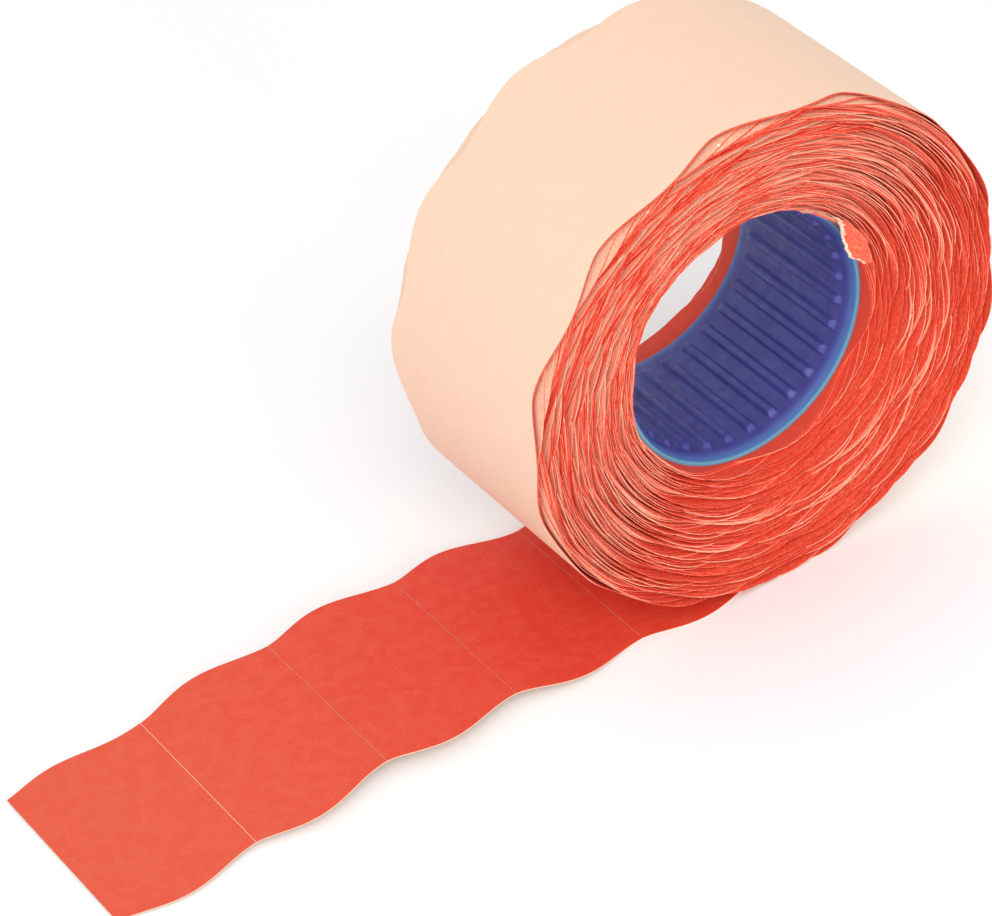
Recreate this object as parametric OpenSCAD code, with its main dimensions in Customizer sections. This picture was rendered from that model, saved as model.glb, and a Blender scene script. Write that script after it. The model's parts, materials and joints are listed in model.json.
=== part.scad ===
// Roll of wave-edged price labels on a ribbed plastic core, with four labels pulled
// out flat in front of it.
// Origin: centre of the core bore. +Y runs along the bore, +Z is up, and the free end
// of the strip points to -X. All sizes are in millimetres.

/* [Labels] */
// Length of one label along the strip
label_pitch = 16; // [14:0.5:18]
// Width of the strip across the dips at a die cut
cut_width = 23.6; // [20:0.2:30]
// How far an edge bulges past the dips, half-way along a label
wave_height = 1.6; // [0:0.1:2.5]
// Thickness of a label with its adhesive
label_t = 0.06; // [0.05:0.01:0.08]
// Gap that the die leaves between two labels
kerf = 0.2; // [0.1:0.05:0.3]

/* [Backing strip] */
// Thickness of the backing paper
backing_t = 0.06; // [0.05:0.01:0.08]
// Adhesive line between the backing and a label
glue_gap = 0.01; // [0.005:0.005:0.02]
// Distance from the roll's lowest point to the first die cut in front of it
first_cut = 17.9; // [16.4:0.5:22.4]
// Height of the strip at the second die cut in front of the roll
near_height = 1.6; // [0:0.1:2]
// Height of the arch in the pulled-out strip, at the third die cut
arch_height = 1.9; // [0:0.1:2.5]
// Height of the strip at the fourth die cut, where the end label starts
end_height = 0.7; // [0:0.1:2]

/* [Roll] */
// Radius of the roll at the floor
roll_r = 28.7; // [27.2:0.5:31.7]
// Turns that stand for the wound stock
coil_turns = 12; // [8:1:14]
// Slack of the outermost turn
slack = 1.0; // [0.6:0.1:1.4]
// Sideways shift of the tape off the middle of the core
tape_shift = -1.0; // [-1.5:0.25:1.5]
// Length of strip that lies flat behind the roll's lowest point
flat_behind = 4; // [3:0.5:5]

/* [Core] */
// Outer radius of the core
core_r = 15; // [14.5:0.1:16]
// Length of the core
core_length = 19.2; // [17:0.2:22]
// Wall thickness behind the ribs
core_wall = 1.0; // [0.8:0.1:1.2]
// Radius on which the rib tips lie
rib_tip_r = 13.3; // [12.5:0.1:13.4]
// Number of ribs in the bore
rib_count = 30; // [24:1:32]
// Width of one rib
rib_width = 0.95; // [0.8:0.05:1.1]
// Rib-free land at each end of the core
land = 1.5; // [0.5:0.25:3]
// Chamfer on the rims of the core
rim_chamfer = 0.25; // [0.1:0.05:0.3]

/* [Torn inner end] */
// Radial thickness of the crumpled tail of the strip
flap_t = 0.2; // [0.1:0.05:0.3]
// How far it stands out of the core's front rim
flap_reach = 3.2; // [1:0.2:4]

/* [Hidden] */
$fn = 96;
turn_names = [for (i = [1 : coil_turns]) str("labels_turn_", i < 10 ? "0" : "", i)];

backing_colour = [0.99, 0.86, 0.76];
label_colour = [0.91, 0.36, 0.27];
core_colour = [0.27, 0.28, 0.55];

strip_t = backing_t + glue_gap + label_t;
mean_width = cut_width + wave_height;
core_bore_r = core_r - core_wall;

// The wound stock is a two-centre spiral: half-turns with their centres a quarter of
// the turn spacing below and above the bore axis, each one half a spacing smaller.
play = 0.05;
coil_r = roll_r - strip_t - play;
spacing = (coil_r - core_r - play) / (coil_turns + 1);
first_half_r = coil_r - spacing / 4;
layer_t = spacing / 2;

// The outermost turn: angle is counted from the lowest point towards +X.
flat_angle = atan(flat_behind / roll_r);
turn_end_angle = 356;
turn_step = 5;
slack_full_angle = 60;
slack_fade_angle = 280;
turn_end_lift = 0.12;

// Outline steps along one label
outline_steps = 16;
// Where along a label its edge bulges most, as a share of the pitch
bulge_place = 0.45;
bulge_power = 1.4;

pivot_z = backing_t / 2 - roll_r;

// Side view drawn in X and Z, made as wide as the tape, where the tape lies
module across(width) {
    translate([0, tape_shift, 0])
        rotate([90, 0, 0])
            linear_extrude(width, center = true)
                children();
}

// Curved band around the roll's axis, angles counted from +X towards +Z
module arc_band(r_in, r_out, from, to, width) {
    rotate([90, 0, 0])
        rotate([0, 0, from])
            rotate_extrude(angle = to - from)
                translate([r_in, -width / 2])
                    square([r_out - r_in, width]);
}

// --- Core ---

module core_shell() {
    half = core_length / 2;
    c = rim_chamfer;
    rotate([90, 0, 0])
        rotate_extrude()
            polygon([
                [core_bore_r + c, -half], [core_r - c, -half], [core_r, c - half],
                [core_r, half - c], [core_r - c, half], [core_bore_r + c, half],
                [core_bore_r, half - c], [core_bore_r, c - half]
            ]);
}

// Straight bars around the bore, rooted in the wall and cut back to the tip radius
module core_ribs() {
    root_r = core_bore_r + core_wall / 2;
    length = core_length - 2 * land;
    difference() {
        for (i = [0 : rib_count - 1])
            rotate([0, i * 360 / rib_count, 0])
                translate([rib_tip_r - 0.5, -length / 2, -rib_width / 2])
                    cube([root_r - rib_tip_r + 0.5, length, rib_width]);
        rotate([90, 0, 0])
            cylinder(h = length + 1, r = rib_tip_r, center = true);
    }
}

module core() {
    color(core_colour)
        union() {
            core_shell();
            core_ribs();
        }
}

// The torn end of the strip, standing out of the front rim between core and first turn
module inner_end_flap() {
    from = 20;
    to = 62;
    tears = 4;
    width = flap_reach + 3;
    r_in = core_r + 0.1;
    front = -core_length / 2 - flap_reach;
    color(backing_colour)
        difference() {
            translate([0, front + width / 2, 0])
                arc_band(r_in, r_in + flap_t, from, to, width);
            for (i = [0 : tears - 1])
                rotate([0, -from - (i + 0.5) * (to - from) / tears, 0])
                    translate([r_in, front, 0])
                        cylinder(h = 3, r = 0.7 + 0.35 * (i % 2), center = true, $fn = 6);
        }
}

// --- Wound stock ---

function half_r(j) = first_half_r - j * spacing / 2;

// One half-turn's layer from depth d0 to d1 below its outer face; even ones lie on +X
module half_layer(j, d0, d1, from, to) {
    side = j % 2;
    lift = side == 0 ? -spacing / 4 : spacing / 4;
    translate([0, tape_shift, lift])
        arc_band(half_r(j) - d1, half_r(j) - d0, side * 180 - 90 + from,
                 side * 180 - 90 + to, mean_width);
}

module backing_coil() {
    color(backing_colour)
        union()
            for (j = [0 : 2 * coil_turns - 1])
                half_layer(j, 0, layer_t, 0, 180);
}

// The labels on the inner face of one turn, each a solid of its own
module labels_turn(turn) {
    color(label_colour)
        for (j = [2 * turn, 2 * turn + 1]) {
            r = half_r(j) - layer_t;
            count = round(PI * r / label_pitch);
            gap = kerf / r * 180 / PI;
            for (i = [0 : count - 1])
                half_layer(j, layer_t + play, spacing - play,
                           i * 180 / count + gap, (i + 1) * 180 / count - gap);
        }
}

// --- Outermost turn ---

// Radius of the wound stock's outer face at an angle
function skin_r(a) =
    a < 180 ? first_half_r + spacing / 4 * cos(a)
            : first_half_r - spacing / 2 - spacing / 4 * cos(a);

function ease(u) = u <= 0 ? 0 : u >= 1 ? 1 : u * u * (3 - 2 * u);

// How far the turn stands off the wound stock: lifted by the flat stretch at first,
// slack most of the way round, and closing in where it dives under itself
flat_lift = roll_r / cos(flat_angle) - skin_r(flat_angle) - strip_t;

function turn_lift(a) =
    flat_lift
    + (slack - flat_lift) * ease((a - flat_angle) / (slack_full_angle - flat_angle))
    + (turn_end_lift - slack)
        * ease((a - slack_fade_angle) / (turn_end_angle - slack_fade_angle));

// Point of the turn at one of its bends, a depth inside its outer face
function bend_point(a, depth) =
    let (r = skin_r(a) + strip_t + turn_lift(a) - depth) [r * sin(a), -r * cos(a)];

// Point of the turn at any angle: the tape is straight between two bends, and flat
// below the roll
function turn_point(a, depth) =
    a <= flat_angle
        ? [roll_r * tan(a), depth - roll_r]
        : let (i = floor((a - flat_angle) / turn_step))
          let (low = flat_angle + i * turn_step)
          let (share = (a - low) / turn_step)
          let (start = i == 0 ? turn_point(flat_angle, depth) : bend_point(low, depth))
              start + share * (bend_point(low + turn_step, depth) - start);

// The two ends of a stretch of the turn, and its bends in between
function turn_angles(from, to) =
    let (first = max(0, floor((from - flat_angle) / turn_step + 0.001) + 1))
    let (last = ceil((to - flat_angle) / turn_step - 0.001) - 1)
        concat([from], [for (i = [first : 1 : last]) flat_angle + i * turn_step], [to]);

// Slab of the turn between two angles and two depths
module turn_slab(from, to, d0, d1) {
    angles = turn_angles(from, to);
    outer = [for (a = angles) turn_point(a, d0)];
    inner = [for (i = [len(angles) - 1 : -1 : 0]) turn_point(angles[i], d1)];
    across(mean_width)
        polygon(concat(outer, inner));
}

module backing_outer_turn() {
    color(backing_colour)
        turn_slab(flat_angle, turn_end_angle, 0, backing_t);
}

// Angle of a die cut of the outermost turn; cut 0 lies in front of the lowest point
cut_step = label_pitch / (roll_r + slack / 2) * 180 / PI;
first_turn_cut = atan((2 * label_pitch - first_cut) / roll_r);

function cut_angle(k) =
    k == 0 ? atan((label_pitch - first_cut) / roll_r) : first_turn_cut + (k - 1) * cut_step;

module labels_outer_turn() {
    half_gap = kerf / 2 / roll_r * 180 / PI;
    whole = floor((turn_end_angle - first_turn_cut) / cut_step) + 1;
    color(label_colour)
        for (k = [0 : whole])
            turn_slab(cut_angle(k) + half_gap,
                      min(cut_angle(k + 1), turn_end_angle) - half_gap,
                      backing_t + glue_gap, strip_t);
}

// --- Flat strip ---

// Outward bulge of an edge, a share u along a label
function bulge(u) = wave_height * pow(sin(180 * pow(u, ln(0.5) / ln(bulge_place))), bulge_power);

// One edge of the strip in X and Y, X counted from a die cut towards the roll
function edge_line(from, to, side) =
    let (steps = ceil((to - from) / label_pitch * outline_steps))
        [
            for (i = [0 : steps])
                let (x = from + (to - from) * i / steps)
                let (u = x / label_pitch - floor(x / label_pitch))
                    [x, side * (cut_width / 2 + bulge(u))]
        ];

module flat_piece(from, to, z0, z1) {
    front = edge_line(from, to, -1);
    back = edge_line(from, to, 1);
    translate([0, tape_shift, z0])
        linear_extrude(z1 - z0)
            polygon(concat(front, [for (i = [len(back) - 1 : -1 : 0]) back[i]]));
}

module backing_at_roll() {
    color(backing_colour)
        translate([-first_cut, 0, -roll_r])
            flat_piece(kerf / 2, first_cut + flat_behind - play, 0, backing_t);
}

module label_5() {
    color(label_colour)
        translate([-first_cut, 0, -roll_r])
            flat_piece(kerf / 2, label_pitch - kerf / 2, backing_t + glue_gap, strip_t);
}

// Height at the roll's side of link k; both ends of the strip lie on the floor
function height(k) = [0, end_height, arch_height, near_height, 0][k];

// Slope of link k, from the roll's side to its other end
function slope(k) = asin((height(k - 1) - height(k)) / label_pitch);

// Hinge line on the roll's side of link k
function hinge(k) =
    k == 4 ? [-first_cut, pivot_z]
           : hinge(k + 1) + label_pitch * [-cos(slope(k + 1)), sin(slope(k + 1))];

// Puts a piece drawn from -label_pitch to 0 on link k
module on_link(k) {
    translate([hinge(k)[0], 0, hinge(k)[1]])
        rotate([0, slope(k), 0])
            translate([-label_pitch, 0, -backing_t / 2])
                children();
}

module backing_link(k) {
    color(backing_colour)
        on_link(k)
            flat_piece(kerf / 2, label_pitch - kerf / 2, 0, backing_t);
}

module label(k) {
    color(label_colour)
        on_link(k)
            flat_piece(kerf / 2, label_pitch - kerf / 2, backing_t + glue_gap, strip_t);
}

core();
inner_end_flap();
backing_coil();
for (i = [0 : coil_turns - 1])
    labels_turn(i);
backing_outer_turn();
labels_outer_turn();
backing_at_roll();
label_5();
for (k = [1 : 4]) {
    backing_link(k);
    label(k);
}
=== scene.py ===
"""Looks for a roll of wave-edged price labels on a ribbed plastic core.

Everything is in the CAD frame: the origin is the centre of the core bore, +Y runs
along the bore and +Z is up. Lengths are in millimetres here and become metres when a
mesh is made.
"""

import json
import math

import bpy
import numpy as np
from mathutils import Matrix, Vector


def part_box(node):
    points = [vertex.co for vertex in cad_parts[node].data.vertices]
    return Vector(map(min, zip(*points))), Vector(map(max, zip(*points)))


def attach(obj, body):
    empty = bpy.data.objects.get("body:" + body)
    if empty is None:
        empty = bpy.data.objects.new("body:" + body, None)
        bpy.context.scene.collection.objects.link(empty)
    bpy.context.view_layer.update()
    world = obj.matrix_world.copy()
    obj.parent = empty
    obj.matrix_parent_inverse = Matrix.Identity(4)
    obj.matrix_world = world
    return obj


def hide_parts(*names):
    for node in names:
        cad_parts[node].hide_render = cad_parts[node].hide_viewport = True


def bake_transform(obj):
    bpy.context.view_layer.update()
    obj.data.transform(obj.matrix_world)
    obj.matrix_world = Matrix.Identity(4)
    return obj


MM = 0.001

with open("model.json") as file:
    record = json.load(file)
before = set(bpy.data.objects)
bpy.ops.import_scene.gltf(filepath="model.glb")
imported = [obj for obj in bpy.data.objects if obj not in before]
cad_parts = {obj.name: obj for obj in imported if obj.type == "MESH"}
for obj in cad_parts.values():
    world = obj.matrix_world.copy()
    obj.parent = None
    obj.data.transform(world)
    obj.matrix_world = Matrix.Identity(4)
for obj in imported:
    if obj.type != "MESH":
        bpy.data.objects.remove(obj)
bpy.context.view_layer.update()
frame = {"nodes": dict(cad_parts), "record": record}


# ---------------------------------------------------------------- sizes from the CAD

JOINTS = {j["name"]: j for j in frame["record"]["behaviour"]["joints"]}
LINKS = (4, 3, 2, 1)


def cad_box_mm(node):
    lo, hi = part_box(node)
    return np.array(lo) / MM, np.array(hi) / MM


def hinge_mm(name):
    p = JOINTS[name]["pos_m"]
    return p[0] / MM, p[2] / MM


FLOOR_Z = cad_box_mm("backing_at_roll")[0][2]
ROLL_R = -FLOOR_Z
CORE_R = cad_box_mm("core")[1][0]
CORE_HALF = cad_box_mm("core")[1][1]
LINK_LOW, LINK_HIGH = cad_box_mm("backing_link_2")
STRIP_MAX = LINK_HIGH[1] - LINK_LOW[1]
TAPE_Y = (LINK_HIGH[1] + LINK_LOW[1]) / 2
HINGES = {k: hinge_mm(f"strip_bend_{k}") for k in LINKS}
FIRST_CUT_X = HINGES[4][0]
PEEL_X = hinge_mm("label_peel")[0]

# ---------------------------------------------------------------- driving sizes

# the tape: backing paper, a film of glue and the label on top of it
PITCH = 16.0
BACK_T = 0.06
GLUE = 0.01
TAPE_T = 0.13
# the backing shows this much beyond the labels' wavy edges
BACKING_MARGIN = 0.04

# the wavy edge: how far a label bulges beyond its die cuts, and where along its pitch
WAVE = 1.6
END_WAVE = 0.85
BULGE_PLACE = 0.45
BULGE_POWER = 1.8
CUT_HALF = STRIP_MAX / 2 - WAVE
# the far edge is wound a little short of the CAD strip and never goes past this place
FAR_TRIM = 0.65
FAR_LIMIT = LINK_HIGH[1] + 0.7

# the tape leaves the roll a little behind the lowest point and is pulled out by four labels
PULLED_OUT = 4 * PITCH
FLAT_BEHIND = 4.0
# share of a label's pitch that one pitch of arc on the outermost turn takes up
OUTER_STRETCH = 0.984

# the wound stock, whose turns are pressed a little thinner than the loose tape
STOCK_R = ROLL_R - TAPE_T - 0.02
TURN_T = 0.12
WOUND_BACK_T = 0.056
WOUND_LABEL = (0.057, 0.115)

# gaps between neighbouring labels
WOUND_GAP = 0.05
OUTER_GAP = 0.08
STRIP_GAP = 0.07

# mesh density: samples along a wound label and along a loose one, and columns across
WOUND_STEPS = 12
LOOSE_POINTS = 20
COLUMNS = 16


# ---------------------------------------------------------------- small helpers


def ease(u):
    u = np.clip(u, 0.0, 1.0)
    return u * u * (3 - 2 * u)


def smooth_noise(x, spacing, seed):
    """Seeded value noise in -1..1, smooth along x, with one random value per spacing."""
    x = np.asarray(x, float) / spacing
    lo = math.floor(float(x.min())) - 1
    hi = math.ceil(float(x.max())) + 3
    values = np.random.default_rng(seed).uniform(-1, 1, hi - lo + 1)
    i = np.floor(x).astype(int)
    f = x - i
    f = f * f * (3 - 2 * f)
    return values[i - lo] * (1 - f) + values[i - lo + 1] * f


def half_width(s):
    """Half the strip's width at a length s from its free end."""
    u = np.mod(s, PITCH) / PITCH
    shape = np.sin(np.pi * u ** (math.log(0.5) / math.log(BULGE_PLACE)))
    wave = np.where(np.asarray(s) < PITCH, END_WAVE, WAVE)
    return CUT_HALF + wave * np.abs(shape) ** BULGE_POWER


def make_object(name, verts, faces, material, sharp):
    """A smooth-shaded mesh from points in mm; edges over sharp degrees stay sharp."""
    mesh = bpy.data.meshes.new(name)
    mesh.from_pydata((np.asarray(verts) * MM).tolist(), [], faces)
    mesh.validate()
    mesh.shade_smooth()
    mesh.set_sharp_from_angle(angle=math.radians(sharp))
    obj = bpy.data.objects.new(name, mesh)
    bpy.context.scene.collection.objects.link(obj)
    mesh.materials.append(material)
    return obj


def tape_faces(line, direction, near, far, distances, columns):
    """Two faces of a tape that runs along a line in the XZ plane, each a distance off it."""
    share = np.linspace(0, 1, columns + 1)
    y = near[:, None] + (far - near)[:, None] * share[None, :]
    faces = []
    for distance in distances:
        place = line + direction * distance
        x = np.repeat(place[:, :1], columns + 1, axis=1)
        z = np.repeat(place[:, 1:], columns + 1, axis=1)
        faces.append(np.stack([x, y, z], axis=-1))
    return faces


class Bands:
    """Collects closed tape sections into one mesh."""

    def __init__(self):
        self.verts, self.faces, self.count = [], [], 0

    def add(self, outer, inner):
        """outer and inner are (sections, columns, 3) points of the two faces."""
        loops = np.concatenate([outer, inner[:, ::-1]], axis=1)
        n, m, _ = loops.shape
        base = self.count + np.arange(n)[:, None] * m + np.arange(m)[None, :]
        nxt = np.roll(base, -1, axis=1)
        quads = np.stack([base[:-1], nxt[:-1], nxt[1:], base[1:]], axis=-1)
        self.faces.extend(quads.reshape(-1, 4).tolist())
        half = m // 2
        for row, flip in ((base[0], True), (base[-1], False)):
            for c in range(half - 1):
                q = [row[c], row[c + 1], row[m - 2 - c], row[m - 1 - c]]
                self.faces.append([int(v) for v in (q[::-1] if flip else q)])
        self.verts.append(loops.reshape(-1, 3))
        self.count += n * m

    def build(self, name, material, sharp=40):
        return make_object(name, np.concatenate(self.verts), self.faces, material, sharp)


# ---------------------------------------------------------------- path of the tape

# Angles round the roll are in degrees from straight down, and rise towards +X.
FLAT_ANGLE = math.degrees(math.atan(FLAT_BEHIND / ROLL_R))
TURN_END = 356.0

# where the stock stands proud of a circle: angle, spread and height
STOCK_BUMPS = ((305, 28, 0.32), (208, 42, -0.36), (122, 30, 0.14), (57, 19, 0.45))
# where the innermost turns stand off the core
CORE_BUMP = (220, 55, 0.8)
# where the turns bunch up: angle and half spread
LOOSE_PLACES = ((312, 42), (135, 50))
# turns in a bunch, and turns that are given a shift, which are more than the roll has
BUNCH = 12
BUNCHED_TURNS = 160


def bump(a, place, spread, height):
    return height * np.exp(-(((a - place) / spread) ** 2))


def stock_warp(a, r):
    """How far the wound stock is out of round at an angle and radius, in mm."""
    share = np.clip((r - CORE_R) / (STOCK_R - CORE_R), 0, 1)
    rad = np.radians(a)
    turn = np.mod(a, 360)
    out = 0.22 * (1 - np.cos(rad)) - 0.22 * np.sin(rad) + 0.04 * np.sin(3 * rad + 1.0)
    for place, spread, height in STOCK_BUMPS:
        out = out + bump(turn, place, spread, height)
    out = out + 0.15 * ease((turn - 30) / 30) * (1 - ease((turn - 100) / 40))
    return share**1.5 * out + (1 - share) ** 2 * bump(turn, *CORE_BUMP)


def bunching():
    """Radial shift of each turn where the turns bunch up and leave thin gaps between."""
    turn = np.arange(BUNCHED_TURNS)
    gap_above = np.random.default_rng(41).random(BUNCHED_TURNS) < 1 / 6
    lag = np.cumsum(np.where(gap_above, 0.22, 0.10)) - TURN_T * (turn + 1)
    return -(lag - np.interp(turn, turn[::BUNCH], lag[::BUNCH]))


BUNCHING = bunching()


def stock_radius(turns):
    """Outer radius of the wound tape after a number of turns."""
    r = STOCK_R - TURN_T * turns
    a = np.mod(360 * turns, 360)
    loose = sum(ease(1 - np.abs(a - place) / spread) for place, spread in LOOSE_PLACES)
    bunched = BUNCHING[np.floor(turns).astype(int)] * loose
    return r + stock_warp(360 * turns, r) + bunched * (turns >= 1)


def turn_lift(a):
    """How far the outermost turn stands off the wound stock."""
    leaving = ROLL_R / math.cos(math.radians(FLAT_ANGLE)) - STOCK_R - TAPE_T
    slack = 0.40
    ripples = np.sin(np.radians(3 * (a - 175))) ** 2 * ease((a - 160) / 30)
    return (
        leaving
        + (slack - leaving) * ease((a - FLAT_ANGLE) / (50 - FLAT_ANGLE))
        + bump(a, 57, 17, 0.10)
        - 0.27 * ease((a - 85) / 50)
        + 0.12 * ripples
        - 0.12 * ease((a - 300) / (TURN_END - 300))
    )


def polar(a, r):
    """XZ point at an angle round the roll and a radius."""
    rad = np.radians(a)
    return np.stack([r * np.sin(rad), -r * np.cos(rad)], axis=-1)


def tape_path():
    """Outer-face line of the tape from the first die cut inwards, with its lengths."""
    flat_x = np.linspace(FIRST_CUT_X, FLAT_BEHIND, 60)
    flat = np.stack([flat_x, np.full_like(flat_x, FLOOR_Z)], axis=-1)
    angles = np.arange(FLAT_ANGLE + 1, 360.01, 1.0)
    outermost = polar(angles, stock_radius(angles / 360) + TAPE_T + turn_lift(angles))
    turn_step = 3 / 360
    last_turn = (STOCK_R - CORE_R) / TURN_T - 0.35
    turns = np.arange(1 + turn_step, last_turn, turn_step)
    path = np.concatenate([flat, outermost, polar(360 * turns, stock_radius(turns))])
    steps = np.linalg.norm(np.diff(path, axis=0), axis=1)
    steps[: len(flat) + len(outermost)] *= OUTER_STRETCH
    return path, PULLED_OUT + np.concatenate([[0], np.cumsum(steps)])


PATH, PATH_S = tape_path()
TAPE_END = float(PATH_S[-1])
# turns wound so far at each point of the path
PATH_TURNS = np.unwrap(np.arctan2(PATH[:, 0], -PATH[:, 1])) / (2 * math.pi)


def path_at(s):
    """Point and outward normal of the tape's outer face on the roll."""
    reach = 0.6
    before, here, after = (
        np.stack([np.interp(at, PATH_S, PATH[:, c]) for c in (0, 1)], axis=-1)
        for at in (s - reach, s, s + reach)
    )
    along = after - before
    length = np.hypot(along[:, 0], along[:, 1])
    return here, np.stack([along[:, 1] / length, -along[:, 0] / length], axis=-1)


def innerness(s):
    """0 on the outer turns, rising to 1 at the end of the tape on the core."""
    return np.clip(s / TAPE_END, 0, 1) ** 2.6


def wander(s):
    """Middle of the tape along Y: its turns are wound slightly askew and sink inwards."""
    waves = ((0.20, 620, 20), (0.22, 150, 21), (0.20, 47, 22), (0.10, 13, 23))
    shift = sum(amount * smooth_noise(s, spacing, seed) for amount, spacing, seed in waves)
    pull = innerness(s)
    sunk = 2.8 * pull
    return TAPE_Y + sunk + (1 - 0.75 * pull) * shift * ease((s - PULLED_OUT - PITCH) / 40)


def sections(s, d0, d1, columns, margin=0.0):
    """Two faces of a stretch of tape on the roll, d0 and d1 below its outer face."""
    line, outward = path_at(s)
    w = half_width(s) + margin
    near = wander(s) - w
    far = np.minimum(wander(s) + w - FAR_TRIM - innerness(s), FAR_LIMIT)
    return tape_faces(line, -outward, near, far, (d0, d1), columns)


def label_stretches(start, stop, gap):
    """Start and end of every label between two lengths of tape."""
    shortest = 0.5
    k = math.floor(start / PITCH + 1e-6)
    stretches = []
    while k * PITCH < stop - shortest:
        lo = max(start, k * PITCH + gap / 2)
        hi = min(stop, (k + 1) * PITCH - gap / 2)
        if hi - lo > shortest:
            stretches.append((lo, hi))
        k += 1
    return stretches


# ---------------------------------------------------------------- materials


class Shader:
    """Builds one procedural material from object-space patterns."""

    def __init__(self, name, rough):
        self.mat = bpy.data.materials.new(name)
        self.mat.use_nodes = True
        self.tree = self.mat.node_tree
        self.surface = self.tree.nodes["Principled BSDF"]
        self.surface.inputs["Roughness"].default_value = rough
        coordinates = self.tree.nodes.new("ShaderNodeTexCoord").outputs
        self.place, self.facing = coordinates["Object"], coordinates["Normal"]

    def feed(self, socket, value):
        """Links a socket to another node's output, or sets a colour or a number."""
        if isinstance(value, bpy.types.NodeSocket):
            self.tree.links.new(value, socket)
        elif isinstance(value, tuple):
            socket.default_value = (*value, 1.0)
        else:
            socket.default_value = value

    def axis(self, name, vector=None):
        """One component of a vector, of the object-space place if none is given."""
        node = self.tree.nodes.new("ShaderNodeSeparateXYZ")
        self.feed(node.inputs[0], vector or self.place)
        return node.outputs[name]

    def near_edges(self, inside_mm, outside_mm):
        """1 at the front edge of the wound tape and on the cut sides, 0 elsewhere."""
        front = self.span(self.axis("Y"), -inside_mm * MM, -outside_mm * MM)
        cut = self.span(self.math("ABSOLUTE", self.axis("Y", self.facing), 0.0), 0.5, 0.8)
        return self.math("MAXIMUM", front, cut)

    def noise(self, size_mm, detail=2.0):
        """Noise in 0..1 whose largest features are about size_mm across."""
        node = self.tree.nodes.new("ShaderNodeTexNoise")
        self.feed(node.inputs["Vector"], self.place)
        node.inputs["Scale"].default_value = 1000.0 / size_mm
        node.inputs["Detail"].default_value = detail
        return node.outputs["Fac"]

    def span(self, value, lo, hi, to_lo=0.0, to_hi=1.0):
        """A smooth step from to_lo to to_hi while the value goes from lo to hi."""
        node = self.tree.nodes.new("ShaderNodeMapRange")
        node.interpolation_type = "SMOOTHSTEP"
        self.feed(node.inputs["Value"], value)
        for key, number in (("From Min", lo), ("From Max", hi), ("To Min", to_lo), ("To Max", to_hi)):
            node.inputs[key].default_value = number
        return node.outputs["Result"]

    def math(self, kind, a, b):
        node = self.tree.nodes.new("ShaderNodeMath")
        node.operation = kind
        self.feed(node.inputs[0], a)
        self.feed(node.inputs[1], b)
        return node.outputs[0]

    def mix(self, factor, colour_a, colour_b):
        node = self.tree.nodes.new("ShaderNodeMix")
        node.data_type = "RGBA"
        # several sockets of this node share a name, so its colour sockets go by number
        self.feed(node.inputs["Factor"], factor)
        self.feed(node.inputs[6], colour_a)
        self.feed(node.inputs[7], colour_b)
        return node.outputs[2]

    def finish(self, colour, rough_noise, rough_lo, rough_hi, height, depth_mm):
        """The finished material: its colour, its range of roughness and its relief."""
        roughness = self.span(rough_noise, 0.3, 0.7, rough_lo, rough_hi)
        self.feed(self.surface.inputs["Base Color"], colour)
        self.feed(self.surface.inputs["Roughness"], roughness)
        relief = self.tree.nodes.new("ShaderNodeBump")
        relief.inputs["Strength"].default_value = 0.6
        relief.inputs["Distance"].default_value = depth_mm * MM
        self.feed(relief.inputs["Height"], height)
        self.feed(self.surface.inputs["Normal"], relief.outputs["Normal"])
        return self.mat


PEACH = (0.86, 0.60, 0.44)
PEACH_DEEP = (0.83, 0.54, 0.385)
CORAL = (0.88, 0.37, 0.22)
EDGE_CORAL = (0.88, 0.45, 0.27)
RED_LIGHT = (0.70, 0.085, 0.042)
# the strip labels' red darkened by painted shade, used near the roll
RED_IN_PAINTED_SHADE = (0.68, 0.045, 0.022)
RED_WOUND = (0.84, 0.078, 0.038)
RED_DEEP = (0.74, 0.050, 0.025)
UNDERSIDE = (0.86, 0.50, 0.42)
CREAM = (0.90, 0.78, 0.58)
INDIGO = (0.062, 0.066, 0.29)
INDIGO_DEEP = (0.05, 0.05, 0.25)
# colours of the painted highlight along the core's rims
RIM_HIGHLIGHT_BLUE = (0.075, 0.22, 0.50)
RIM_HIGHLIGHT_TEAL = (0.12, 0.34, 0.38)


def liner_paper(name, edge_tint):
    """Backing paper; edge_tint is how far its cut edges take on the labels' colour."""
    sh = Shader(name, 0.6)
    mottle = sh.span(sh.noise(2.2, 3), 0.35, 0.65)
    specks = sh.span(sh.noise(0.32, 1), 0.60, 0.72, 0.0, 0.30)
    colour = sh.mix(sh.math("MULTIPLY", mottle, 0.22), PEACH, PEACH_DEEP)
    colour = sh.mix(specks, colour, PEACH_DEEP)
    if edge_tint:
        near = sh.near_edges(9.8, 11.0)
        streak = sh.span(sh.noise(0.5, 2), 0.3, 0.7, edge_tint, 0.75 * edge_tint)
        tint = sh.mix(sh.span(sh.noise(0.22, 1), 0.3, 0.8, 0.0, 0.7), EDGE_CORAL, RED_WOUND)
        colour = sh.mix(sh.math("MULTIPLY", near, streak), colour, tint)
        chips = sh.math("MULTIPLY", near, sh.span(sh.noise(0.9, 1), 0.715, 0.75))
        colour = sh.mix(chips, colour, CREAM)
    return sh.finish(colour, sh.noise(0.7), 0.5, 0.7, sh.noise(0.35, 3), 0.02)


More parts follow.
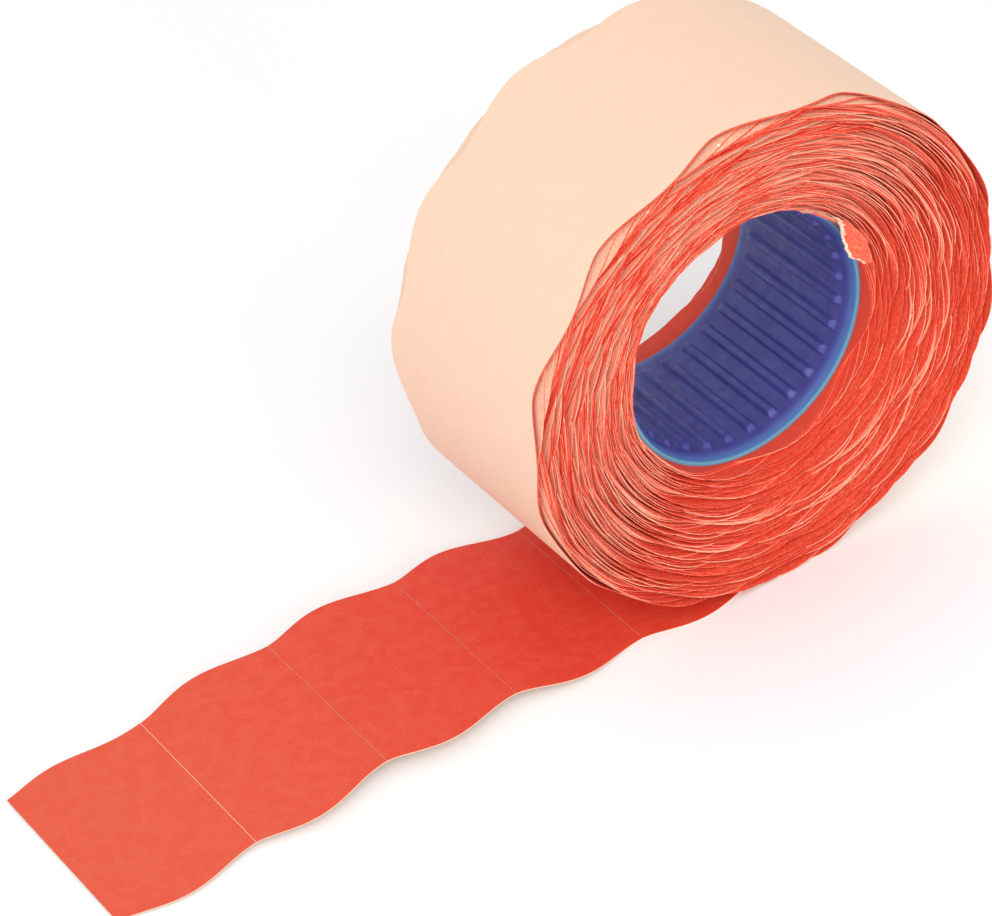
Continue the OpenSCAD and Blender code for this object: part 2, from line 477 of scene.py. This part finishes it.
def label_paper(name, on_strip):
    """Fluorescent label paper; on the pulled-out strip, painted shade darkens it near the roll and
    fades out towards the free end.
    """
    sh = Shader(name, 0.55)
    mottle = sh.span(sh.noise(1.6, 3), 0.35, 0.65)
    if on_strip:
        # painted shade: the strip's labels are darker near the roll and reach their own red towards
        # the free end
        painted_shade_fade = sh.span(sh.axis("X"), -0.022, -0.078)
        colour = sh.mix(painted_shade_fade, RED_IN_PAINTED_SHADE, RED_LIGHT)
        colour = sh.mix(sh.math("MULTIPLY", mottle, 0.05), colour, CORAL)
        colour = sh.mix(sh.span(sh.axis("Z", sh.facing), -0.3, -0.8), colour, UNDERSIDE)
    else:
        near = sh.near_edges(11.0, 12.2)
        colour = sh.mix(sh.math("MULTIPLY", mottle, 0.3), RED_WOUND, RED_DEEP)
        # paler coral patches along the front edge and the cut sides
        pale_edge_patches = sh.span(sh.noise(0.3, 1), 0.35, 0.75, 0.0, 0.30)
        colour = sh.mix(sh.math("MULTIPLY", near, pale_edge_patches), colour, CORAL)
    specks = sh.span(sh.noise(0.28, 1), 0.60, 0.74, 0.0, 0.10)
    colour = sh.mix(specks, colour, CORAL)
    sh.surface.inputs["Specular IOR Level"].default_value = 0.25
    return sh.finish(colour, sh.noise(0.5), 0.5, 0.65, sh.noise(0.3, 3), 0.02)


def core_plastic():
    """Satin indigo plastic with a painted highlight of lighter blue at both rims and a painted teal
    fringe at their very edge.
    """
    sh = Shader("core_plastic_blue", 0.4)
    depth = sh.math("ABSOLUTE", sh.axis("Y"), 0.0)
    rim = sh.span(depth, (CORE_HALF - 1.2) * MM, (CORE_HALF + 0.15) * MM, 0.0, 0.75)
    edge = sh.span(depth, (CORE_HALF - 0.15) * MM, (CORE_HALF + 0.05) * MM, 0.0, 0.6)
    colour = sh.mix(sh.span(sh.noise(1.8, 3), 0.35, 0.65), INDIGO, INDIGO_DEEP)
    # painted highlight: lighter blue along both rims, with a painted teal fringe at their very edge
    colour = sh.mix(rim, colour, RIM_HIGHLIGHT_BLUE)
    colour = sh.mix(edge, colour, RIM_HIGHLIGHT_TEAL)
    return sh.finish(colour, sh.noise(0.9), 0.38, 0.55, sh.noise(0.25, 3), 0.012)


def torn_paper():
    """The cream core of the paper where it is torn."""
    sh = Shader("torn_paper_cream", 0.7)
    colour = sh.mix(sh.span(sh.noise(0.4, 2), 0.35, 0.65), CREAM, PEACH_DEEP)
    return sh.finish(colour, sh.noise(0.5), 0.6, 0.8, sh.noise(0.2, 3), 0.04)


def floor_surface():
    sh = Shader("floor_white", 0.9)
    colour = sh.mix(sh.noise(60, 2), (0.93, 0.93, 0.93), (0.95, 0.95, 0.95))
    return sh.finish(colour, sh.noise(20), 0.85, 0.95, sh.noise(3, 2), 0.002)


liner_mat = liner_paper("liner_paper_peach", 0.0)
wound_liner_mat = liner_paper("liner_paper_wound", 0.72)
label_mat = label_paper("label_paper_red", True)
wound_label_mat = label_paper("label_paper_wound", False)
core_mat = core_plastic()
torn_mat = torn_paper()
floor_mat = floor_surface()

# ---------------------------------------------------------------- wound stock

STOCK_START = float(np.interp(TURN_END / 360, PATH_TURNS, PATH_S))

backing = Bands()
wound_s = np.arange(STOCK_START, TAPE_END, PITCH / WOUND_STEPS)
backing.add(*sections(wound_s, 0.0, WOUND_BACK_T, 1))
stock_backing = backing.build("stock_backing", wound_liner_mat)
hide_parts("backing_coil")
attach(stock_backing, "roll")

# the CAD's label groups share out the turns, each from one die cut to another
coil_turns = sorted(n for n in frame["nodes"] if n.startswith("labels_turn_"))
limits = np.linspace(TURN_END / 360, PATH_TURNS[-1], len(coil_turns) + 1)
cuts = np.round(np.interp(limits[1:-1], PATH_TURNS, PATH_S) / PITCH) * PITCH
cuts = np.concatenate([[STOCK_START], cuts, [TAPE_END]])
for i, node in enumerate(coil_turns):
    group = Bands()
    # the labels of the innermost turns lie end to end
    gap = 0.0 if i >= len(coil_turns) - 2 else WOUND_GAP
    for lo, hi in label_stretches(cuts[i], cuts[i + 1], gap):
        points = max(3, round((hi - lo) / PITCH * WOUND_STEPS) + 1)
        group.add(*sections(np.linspace(lo, hi, points), *WOUND_LABEL, 1))
    obj = group.build(f"stock_labels_{i + 1:02d}", wound_label_mat)
    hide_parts(node)
    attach(obj, "roll")

# ---------------------------------------------------------------- outermost turn

# half the length of backing that bends at a die cut, and the room left for it on the roll
JOIN = 0.25
JOIN_ROOM = 0.35

outer_s = np.arange(PULLED_OUT + JOIN_ROOM, STOCK_START, 0.8)
outer = Bands()
outer.add(*sections(outer_s, 0.0, BACK_T, COLUMNS, margin=BACKING_MARGIN))
outer_obj = outer.build("outer_turn_backing", liner_mat)
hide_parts("backing_outer_turn", "backing_at_roll")
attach(outer_obj, "roll")

for name, start, stop, node, material in (
    ("label_5_paper", PULLED_OUT, PULLED_OUT + PITCH, "label_5", label_mat),
    ("outer_turn_labels", PULLED_OUT + PITCH, STOCK_START, "labels_outer_turn", wound_label_mat),
):
    band = Bands()
    for lo, hi in label_stretches(start, stop, OUTER_GAP):
        label_s = np.linspace(lo, hi, LOOSE_POINTS)
        band.add(*sections(label_s, BACK_T + GLUE, TAPE_T, COLUMNS))
    obj = band.build(name, material)
    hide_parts(node)
    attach(obj, "roll")

# ---------------------------------------------------------------- pulled-out strip

# the free end reaches a little beyond the CAD strip's, and curls a little off the floor
FREE_END_X = HINGES[1][0] - PITCH - 0.45
FREE_END_LIFT = 0.2
# the strip's die cuts from the roll to the free end
CUT_X = [HINGES[k][0] for k in LINKS] + [FREE_END_X]
# how far the free end has strayed towards the front, and where along -X that happens
STRAY = 0.5
STRAY_FROM = 35
STRAY_LENGTH = 45
# the end label's own outline: extra bulge of its near edge, lean and trim of its far edge
END_BULGE = 0.6
END_LEAN = 0.4
END_TRIM = 0.5


def strip_height(x):
    """Height of the strip's underside above the floor, smooth through the hinges."""
    xs = np.array(CUT_X[::-1])
    lifts = [HINGES[k][1] - BACK_T / 2 - FLOOR_Z for k in reversed(LINKS)]
    zs = np.array([FREE_END_LIFT] + lifts)
    rise_to_crest = (zs[2] - zs[0]) / (xs[2] - xs[0])
    slopes = np.array([0.0, 0.9 * rise_to_crest, 0.01, -0.04, 0.0])
    i = np.clip(np.searchsorted(xs, x) - 1, 0, len(xs) - 2)
    h = xs[i + 1] - xs[i]
    t = np.clip((x - xs[i]) / h, 0, 1)
    return (
        (2 * t**3 - 3 * t**2 + 1) * zs[i]
        + (t**3 - 2 * t**2 + t) * h * slopes[i]
        + (-2 * t**3 + 3 * t**2) * zs[i + 1]
        + (t**3 - t**2) * h * slopes[i + 1]
    )


def strip_sections(x, h0, h1, columns, margin=0.0):
    """Two faces of a stretch of the strip at given x, h0 and h1 above its underside."""
    s = np.interp(x, CUT_X[::-1], PITCH * np.arange(len(CUT_X)))
    reach = 0.3
    run = 2 * reach
    rise = strip_height(x + reach) - strip_height(x - reach)
    slant = np.hypot(rise, run)
    upward = np.stack([-rise / slant, run / slant], axis=-1)
    line = np.stack([x, FLOOR_Z + strip_height(x)], axis=-1)
    w = half_width(s) + margin
    middle = TAPE_Y - STRAY * ease((-x - STRAY_FROM) / STRAY_LENGTH)
    u = np.clip(s / PITCH, 0, 1)
    near = middle - w - END_BULGE * np.sin(np.pi * u) ** 2
    far = middle + w - FAR_TRIM - END_TRIM * ease(1 - u) + END_LEAN * np.sin(2 * np.pi * u)
    return tape_faces(line, upward, near, far, (h0, h1), columns)


# the end label starts just outside its peel hinge, and its cut edge and the next label's
# lean back so that they clear each other when it folds over
PEEL_ROOM = 0.005
LEAN_1 = 0.035
LEAN_2 = 0.16
OVERHANG_2 = 0.04

for k in LINKS:
    own = f"strip_{k}"
    inner_cut = CUT_X[4 - k]
    outer_cut = CUT_X[5 - k]
    bend = np.linspace(inner_cut + JOIN, inner_cut - JOIN, 9)
    rest = np.linspace(inner_cut - JOIN, outer_cut + (JOIN if k > 1 else 0), 25)
    x = np.concatenate([bend, rest[1:]])[::-1]
    band = Bands()
    band.add(*strip_sections(x, 0.0, BACK_T, COLUMNS, margin=BACKING_MARGIN))
    obj = band.build(f"strip_backing_{k}", liner_mat)
    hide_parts(f"backing_link_{k}")
    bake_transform(obj)
    band = Bands()
    inner_x = inner_cut - STRIP_GAP / 2 if k > 1 else PEEL_X - PEEL_ROOM
    outer_x = outer_cut + {1: 0.0, 2: -OVERHANG_2}.get(k, STRIP_GAP / 2)
    label_x = np.linspace(outer_x, inner_x, 24)
    under, top = strip_sections(label_x, BACK_T + GLUE, TAPE_T, COLUMNS)
    if k == 1:
        top[-1, :, 0] -= LEAN_1
    if k == 2:
        top[0, :, 0] += LEAN_2
    band.add(under, top)
    obj = band.build(f"label_{k}_paper", label_mat)
    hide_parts(f"label_{k}")
    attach(obj, own if k > 1 else "end_label")

# ---------------------------------------------------------------- core

RIBS = 30
RIB_PITCH = 360 / RIBS
FIRST_RIB = -0.6
BORE_R = 14.0
RIB_H = 0.62
# half a rib's top and the width of its flank, in degrees, and the slope at its ends, in mm
RIB_TOP = 1.2
RIB_FLANK = 1.9
RIB_RUNOUT = 0.7
LAND = 1.5
RIM_ROUND = 0.14
# the bore widens towards the near rim, which stands a little further out than in the CAD
FLARE = 0.5
FLARE_LENGTH = 1.2
NEAR_RIM = CORE_HALF + 0.15
# mesh lines across a rib, in degrees from its middle, and along the bore, in mm from its middle
RIB_STEPS = (-6, -4.4, -3.3, -2.8, -2.3, -1.8, -1.2, -0.5, 0.5, 1.2, 1.8, 2.3, 2.8, 3.3, 4.4)
BORE_STEPS = (0.0, 2.8, 5.6, 7.0, 7.4, 7.6, 7.8, 7.95, 8.1, 8.7, 9.1)


def rib_rise(offset, y):
    """Height of a rib off the bore wall, offset degrees from its middle."""
    across = 1 - ease((np.abs(offset) - RIB_TOP) / RIB_FLANK)
    along = 1 - ease((np.abs(y) - (CORE_HALF - LAND - RIB_RUNOUT)) / RIB_RUNOUT)
    return RIB_H * across * along


def rim_outline(inner_r, end_y):
    """Rounded end face of the core's wall, from its bore to its outside."""
    arc = np.radians(np.linspace(0, 90, 5))
    sign = math.copysign(1, end_y)
    y = end_y - sign * RIM_ROUND + sign * RIM_ROUND * np.sin(arc)
    inner = inner_r + RIM_ROUND - RIM_ROUND * np.cos(arc)
    outer = CORE_R - RIM_ROUND + RIM_ROUND * np.cos(arc)
    return list(zip(inner, y)) + list(zip(outer[::-1], y[::-1]))


def build_core():
    steps = np.array(BORE_STEPS)
    bore_y = np.concatenate([-steps[:0:-1], steps])
    flare = FLARE * ease((FLARE_LENGTH - CORE_HALF - bore_y) / FLARE_LENGTH)
    loop = [(r, y, True) for r, y in zip(BORE_R + flare, bore_y)]
    loop += [(r, y, False) for r, y in rim_outline(BORE_R, CORE_HALF)]
    loop += [(r, y, False) for r, y in rim_outline(BORE_R + FLARE, -NEAR_RIM)[::-1]]
    angles = np.array([RIB_PITCH * i + FIRST_RIB + o for i in range(RIBS) for o in RIB_STEPS])
    offsets = np.array(RIB_STEPS * RIBS)
    verts = np.zeros((len(angles), len(loop), 3))
    for j, (r, y, ribbed) in enumerate(loop):
        radius = r - (rib_rise(offsets, y) if ribbed else 0)
        verts[:, j, 0] = radius * np.cos(np.radians(angles))
        verts[:, j, 1] = y
        verts[:, j, 2] = radius * np.sin(np.radians(angles))
    n, m = len(angles), len(loop)
    base = np.arange(n * m).reshape(n, m)
    up, on = np.roll(base, -1, axis=0), np.roll(base, -1, axis=1)
    both = np.roll(up, -1, axis=1)
    faces = np.stack([base, on, both, up], axis=-1).reshape(-1, 4).tolist()
    return make_object("core_ribbed", verts.reshape(-1, 3), faces, core_mat, sharp=60)


core_obj = build_core()
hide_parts("core")
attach(core_obj, "roll")

# ---------------------------------------------------------------- torn end of the tape

# torn edge: angle from +X towards +Z, and radius
TEAR = (
    (16, 14.4), (19, 13.9), (25, 13.3), (31, 13.45), (37, 14.1),
    (42, 15.0), (50, 15.5), (62, 15.6), (68, 15.8),
)
FLAP_T = 0.09
FLAP_ROOT_R = 15.7
FLAP_ROOT_Y = -12.75
# how far the flap dips into the bore, and the width of the cream band along its tear
FLAP_DIP = 0.75
CREAM_BAND = 0.28


def build_flap():
    angle = np.linspace(TEAR[0][0], TEAR[-1][0], 90)
    edge = np.interp(angle, *np.array(TEAR).T)
    edge = edge + 0.10 * smooth_noise(angle, 1.6, 31) + 0.06 * smooth_noise(angle, 0.7, 32)
    root = np.minimum(FLAP_ROOT_R, edge + 0.9 + 1.4 * ease((angle - 17) / 10))
    rows = np.array([0.0, 0.35, 0.55, 0.75, 0.88, 1.0])[None, :]
    r = root[:, None] + (edge - root)[:, None] * rows
    ripple = 0.10 * smooth_noise(angle, 5, 33)[:, None]
    y = FLAP_ROOT_Y + FLAP_DIP * rows**2 + ripple
    rad = np.radians(angle)[:, None]
    front, back = (np.stack([r * np.cos(rad), y + t, r * np.sin(rad)], axis=-1) for t in (0.0, FLAP_T))
    band = Bands()
    band.add(front, back)
    obj = band.build("torn_flap", wound_label_mat, sharp=60)
    obj.data.materials.append(torn_mat)
    for poly in obj.data.polygons:
        c = poly.center / MM
        torn = np.interp(math.degrees(math.atan2(c.z, c.x)), angle, edge)
        if math.hypot(c.x, c.z) < torn + CREAM_BAND:
            poly.material_index = 1
    return obj


flap_obj = build_flap()
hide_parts("inner_end_flap")
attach(flap_obj, "roll")

# ---------------------------------------------------------------- stage, light, camera

FLOOR_GAP = 0.01
bpy.ops.mesh.primitive_plane_add(size=4, location=(0, 0, (FLOOR_Z - FLOOR_GAP) * MM))
floor = bpy.context.object
floor.name = "studio_floor"
floor.data.materials.append(floor_mat)

world = bpy.data.worlds.new("studio_world")
bpy.context.scene.world = world
world.use_nodes = True
background = world.node_tree.nodes["Background"]
background.inputs["Color"].default_value = (1, 1, 1, 1)
background.inputs["Strength"].default_value = 0.90


def area_light(name, location, power):
    """A soft round light that points at the middle of the core."""
    data = bpy.data.lights.new(name, "AREA")
    data.shape = "DISK"
    data.size = 0.5
    data.energy = power
    obj = bpy.data.objects.new(name, data)
    bpy.context.scene.collection.objects.link(obj)
    obj.location = location
    obj.rotation_euler = (-Vector(location)).to_track_quat("-Z", "Y").to_euler()


area_light("key_light", (-0.35, -0.45, 0.6), 2.0)
area_light("front_fill", (-0.05, -0.7, 0.12), 2.4)

bpy.context.scene.view_settings.view_transform = "Standard"


def photo_camera(azimuth, elevation, roll, place, lens):
    """A camera at a place in mm; its heading runs from +Y towards +X and it looks down."""
    a, e = math.radians(azimuth), math.radians(elevation)
    forward = Vector((math.sin(a) * math.cos(e), math.cos(a) * math.cos(e), -math.sin(e)))
    level = forward.cross(Vector((0, 0, 1))).normalized()
    up = level.cross(forward)
    c, s = math.cos(math.radians(roll)), math.sin(math.radians(roll))
    right = level * c + up * s
    up = up * c - level * s
    data = bpy.data.cameras.new("photo_camera")
    data.lens = lens
    data.sensor_width = 36.0
    data.clip_start, data.clip_end = 0.01, 20
    cam = bpy.data.objects.new("photo_camera", data)
    bpy.context.scene.collection.objects.link(cam)
    m = Matrix((right, up, -forward)).transposed().to_4x4()
    m.translation = Vector(place) * MM
    cam.matrix_world = m
    bpy.context.scene.camera = cam


photo_camera(
    azimuth=29.99,
    elevation=38.615,
    roll=-7.032,
    place=(-194.456, -292.969, 261.968),
    lens=152.72,
)
